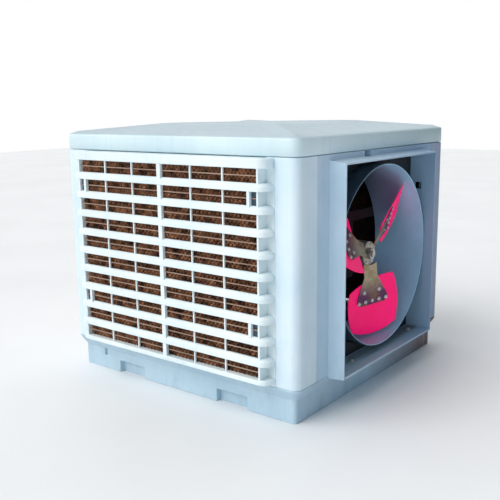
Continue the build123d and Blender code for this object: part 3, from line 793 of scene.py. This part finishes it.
def fan_ring():
    """Duct ring with a rolled front lip."""
    back, front = RING_LOW.x, RING_HIGH.x
    outer, inner = RING_R, RING_R - RING_T
    profile = [(back, outer - 0.002), (front - 0.012, outer - 0.002), (front - 0.011, outer),
               (front - 0.002, outer), (front, outer - 0.002), (front, inner + 0.001),
               (front - 0.002, inner), (front - 0.012, inner + 0.001),
               (back, inner + 0.001), (back, outer - 0.002)]
    ring = lathe("fan_ring_duct", "duct", profile, 160)
    placed(rounded(ring, 0.0006, 1), "housing", "duct", "fan_ring")


# ---- Rotor ----------------------------------------------------------------------------------
def blade_frame(number):
    """Places a flat-laid blade: X outwards, Y to the leading side, Z to the hollow side."""
    angle = FIRST_BLADE + number * 2 * math.pi / BLADES
    radial = Vector((0, math.cos(angle), math.sin(angle)))
    lead = Vector((0, -math.sin(angle), math.cos(angle)))
    axis = Vector((1, 0, 0))
    turn = Matrix((radial, lead, axis)).transposed().to_4x4()
    return Matrix.Translation((HUB_HIGH.x, 0, AXIS.z)) @ turn @ Matrix.Rotation(PITCH, 4, "X")


def camber(c, lift=0.0):
    """Height of the hollow face over the chord line."""
    return BLADE_CAMBER_R - math.sqrt((BLADE_CAMBER_R - lift) ** 2 - c * c)


BLADE_GRID = 28
BLADE_ROUNDING = 0.42


def blade(number):
    """Broad paddle with rounded corners and a dished face."""
    shape = Shape()
    count = BLADE_GRID
    verts, faces = [], []
    for row in range(count + 1):
        v = 2 * row / count - 1
        for col in range(count + 1):
            u = 2 * col / count - 1
            x = u * (1 - BLADE_ROUNDING + BLADE_ROUNDING * math.sqrt(1 - v * v / 2))
            y = v * (1 - BLADE_ROUNDING + BLADE_ROUNDING * math.sqrt(1 - u * u / 2))
            c = x * BLADE_CHORD / 2
            root = BLADE_ROOT_LOW + (BLADE_ROOT_HIGH - BLADE_ROOT_LOW) * (x + 1) / 2
            tip = math.sqrt(TIP_R ** 2 - c * c) - 0.001
            r = root + (tip - root) * (y + 1) / 2
            verts.append((r, c, camber(c) - 0.0017))
            if row and col:
                a = row * (count + 1) + col
                faces.append((a, a - 1, a - count - 2, a - count - 1))
    shape.add(verts, faces)
    piece = shape.piece(f"blade_{number + 1}", "blade", blade_frame(number))
    solid = piece.modifiers.new("sheet", "SOLIDIFY")
    solid.thickness = 0.0032
    solid.offset = 0
    placed(rounded(piece, 0.0010), "fan_rotor", "blade", f"fan_blade_{number + 1}")


# ---- Bolts ----------------------------------------------------------------------------------
ARM_BOLTS = ((0.190, -0.062), (0.190, -0.031), (0.190, 0.0), (0.190, 0.031), (0.190, 0.062),
             (0.152, -0.034), (0.152, 0.034))            # distance from the axis, along the chord
ARM_BOLT_R = 0.0050        # half width of a bolt's head
HUB_BOLT_R = 0.0050
SILL_BOLT_R = 0.0085
HUB_BOLTS_R = 0.036        # circle that the hub's bolts lie on
SILL_BOLTS_Y = (-0.179, 0.283)
SILL_BOLTS_X = 0.540
WASHER_T = 0.0012


def add_bolt(shape, place, normal, radius):
    """Six-sided head with a chamfered crown on a washer."""
    turn = Vector(normal).to_track_quat("Z", "Y").to_matrix()
    height = radius * 0.75

    def ring(count, size, z):
        angles = [2 * math.pi * i / count for i in range(count)]
        return [Vector(place) + turn @ Vector((size * math.cos(angle), size * math.sin(angle), z))
                for angle in angles]
    shape.rings([ring(20, radius * 1.45, -0.0005), ring(20, radius * 1.45, WASHER_T * 0.7),
                 ring(20, radius * 1.38, WASHER_T)])
    shape.rings([ring(6, radius, WASHER_T * 0.5), ring(6, radius, WASHER_T + height * 0.8),
                 ring(6, radius * 0.82, WASHER_T + height)])


def bolts(name, node, starts, direction, radius, body, slot):
    """Bolts where rays from the starts meet a CAD node."""
    mesh = frame["nodes"][node].data
    tree = BVHTree.FromPolygons([v.co for v in mesh.vertices], [p.vertices for p in mesh.polygons])
    shape = Shape()
    for start in starts:
        place, normal, _, _ = tree.ray_cast(Vector(start), Vector(direction))
        if place is not None:
            add_bolt(shape, place, normal, radius)
    placed(rounded(shape.piece(name, "zinc"), 0.0003, 1, 40), body, slot)


def fan_bolts():
    """Bolts of the blades, the hub and the sill."""
    for number in range(BLADES):
        turn = blade_frame(number)
        starts = []
        for r, c in ARM_BOLTS:
            starts.append(turn @ Vector((r, c, 0.25)))
        inwards = turn.to_3x3() @ Vector((0, 0, -1))
        bolts(f"blade_bolts_{number + 1}", f"fan_arm_{number + 1}", starts, inwards, ARM_BOLT_R,
              "fan_rotor", "bright_steel")
    starts = []
    for step in range(6):
        angle = 2 * math.pi * step / 6
        starts.append((1.0, HUB_BOLTS_R * math.cos(angle), AXIS.z + HUB_BOLTS_R * math.sin(angle)))
    bolts("hub_bolts", "fan_hub", starts, (-1, 0, 0), HUB_BOLT_R, "fan_rotor", "bright_steel")
    shape = Shape()
    for y in SILL_BOLTS_Y:
        add_bolt(shape, (SILL_BOLTS_X, y, BASE_H), (0, 0, 1), SILL_BOLT_R)
    placed(rounded(shape.piece("sill_bolts", "zinc"), 0.0003, 1, 40), "housing", "bright_steel")


# ---- Everything -----------------------------------------------------------------------------
def studio():
    """Floor, soft lights and plain surroundings."""
    shape = Shape()
    shape.box((-14, -14, -0.02), (14, 14, 0))
    mesh = bpy.data.meshes.new("floor")
    mesh.from_pydata([tuple(v) for v in shape.verts], [], shape.faces)
    floor = bpy.data.objects.new("floor", mesh)
    bpy.context.scene.collection.objects.link(floor)
    mesh.materials.append(floor_finish("floor_finish"))

    surroundings()
    bpy.context.scene.view_settings.view_transform = "Standard"
    sun = bpy.data.lights.new("key", "SUN")
    sun.energy = 1.45
    sun.angle = math.radians(50)
    sun.color = (1.0, 0.99, 0.97)
    aim_lamp("key", sun, (-1.5, -3.1, 3.6), (0, 0, 0))
    for name, place, aim, size, power, tint in (
            ("fan_side", (2.7, -2.9, 1.1), (0.5, -0.1, 0.4), 1.2, 16, (0.84, 0.94, 1.0)),):
        light = bpy.data.lights.new(name, "AREA")
        light.size = size
        light.energy = power
        light.color = tint
        aim_lamp(name, light, place, aim)


def aim_lamp(name, light, place, aim):
    """Lamp at a place, turned towards a point."""
    lamp = bpy.data.objects.new(name, light)
    lamp.location = place
    lamp.rotation_euler = (Vector(aim) - Vector(place)).to_track_quat("-Z", "Y").to_euler()
    bpy.context.scene.collection.objects.link(lamp)


def surroundings():
    """Surroundings that look plain white, with light that falls to a dim blue grey on the fan's side."""
    world = bpy.data.worlds.new("studio")
    world.use_nodes = True
    bpy.context.scene.world = world
    tree = world.node_tree
    background = tree.nodes["Background"]
    place = tree.nodes.new("ShaderNodeTexCoord")
    split = tree.nodes.new("ShaderNodeSeparateXYZ")
    tree.links.new(place.outputs["Generated"], split.inputs["Vector"])
    fade = tree.nodes.new("ShaderNodeMapRange")
    fade.interpolation_type = "SMOOTHSTEP"
    for key, value in zip(("From Min", "From Max", "To Min", "To Max"), (-0.05, 0.55, 0.0, 1.0)):
        fade.inputs[key].default_value = value
    tree.links.new(split.outputs["X"], fade.inputs["Value"])
    tone = tree.nodes.new("ShaderNodeMix")
    tone.data_type = "RGBA"
    tone.inputs[6].default_value = (1.0, 1.0, 1.0, 1)
    tone.inputs[7].default_value = (0.085, 0.125, 0.17, 1)
    tree.links.new(fade.outputs["Result"], tone.inputs["Factor"])
    seen = tree.nodes.new("ShaderNodeMix")
    seen.data_type = "RGBA"
    tree.links.new(tree.nodes.new("ShaderNodeLightPath").outputs["Is Camera Ray"], seen.inputs["Factor"])
    tree.links.new(tone.outputs[2], seen.inputs[6])
    seen.inputs[7].default_value = (1.0, 1.0, 1.0, 1)
    tree.links.new(seen.outputs[2], background.inputs["Color"])
    background.inputs["Strength"].default_value = 1.0


def camera():
    """Camera at the height, bearing and distance from which the object is known."""
    data = bpy.data.cameras.new("camera")
    data.sensor_width = 36.0
    data.lens = 52.34
    eye = bpy.data.objects.new("camera", data)
    forward = Vector((-0.60135, 0.77494, -0.19455)).normalized()
    right = forward.cross(Vector((0, 0, 1))).normalized()
    up = right.cross(forward)
    roll = math.radians(-0.753)
    turned_right = right * math.cos(roll) + up * math.sin(roll)
    turned_up = turned_right.cross(forward)
    turn = Matrix((turned_right, turned_up, -forward)).transposed().to_4x4()
    eye.matrix_world = Matrix.Translation((1.7983, -2.3996, 1.0448)) @ turn
    bpy.context.scene.collection.objects.link(eye)
    bpy.context.scene.camera = eye


def finish_cad_nodes():
    """Gives each CAD node that still shows its finish."""
    for name, node in frame["nodes"].items():
        if node.hide_render:
            continue
        node.data.materials.clear()
        node.data.materials.append(FINISH[SLOT_OF[name]])


camera()
studio()
for side in SIDES:
    louvre(side)
    cooling_pad(side)
base_skirt()
softened("base_basin", "basin_tub", 0.003)
basin_water()
lid()
for corner in ("front_right", "front_left", "back_left", "back_right"):
    softened(f"corner_post_{corner}", f"post_{corner}", 0.0025)
softened("fan_panel", "fan_side_panel", 0.003, "panel")
softened("orifice_plate", "fan_plate", 0.001, "plate")
softened("motor_bracket", "motor_frame", 0.001, "bracket")
fan_ring()
for number in range(BLADES):
    blade(number)
    softened(f"fan_arm_{number + 1}", f"rotor_arm_{number + 1}", 0.0008, "arm", "fan_rotor")
fan_bolts()
finish_cad_nodes()
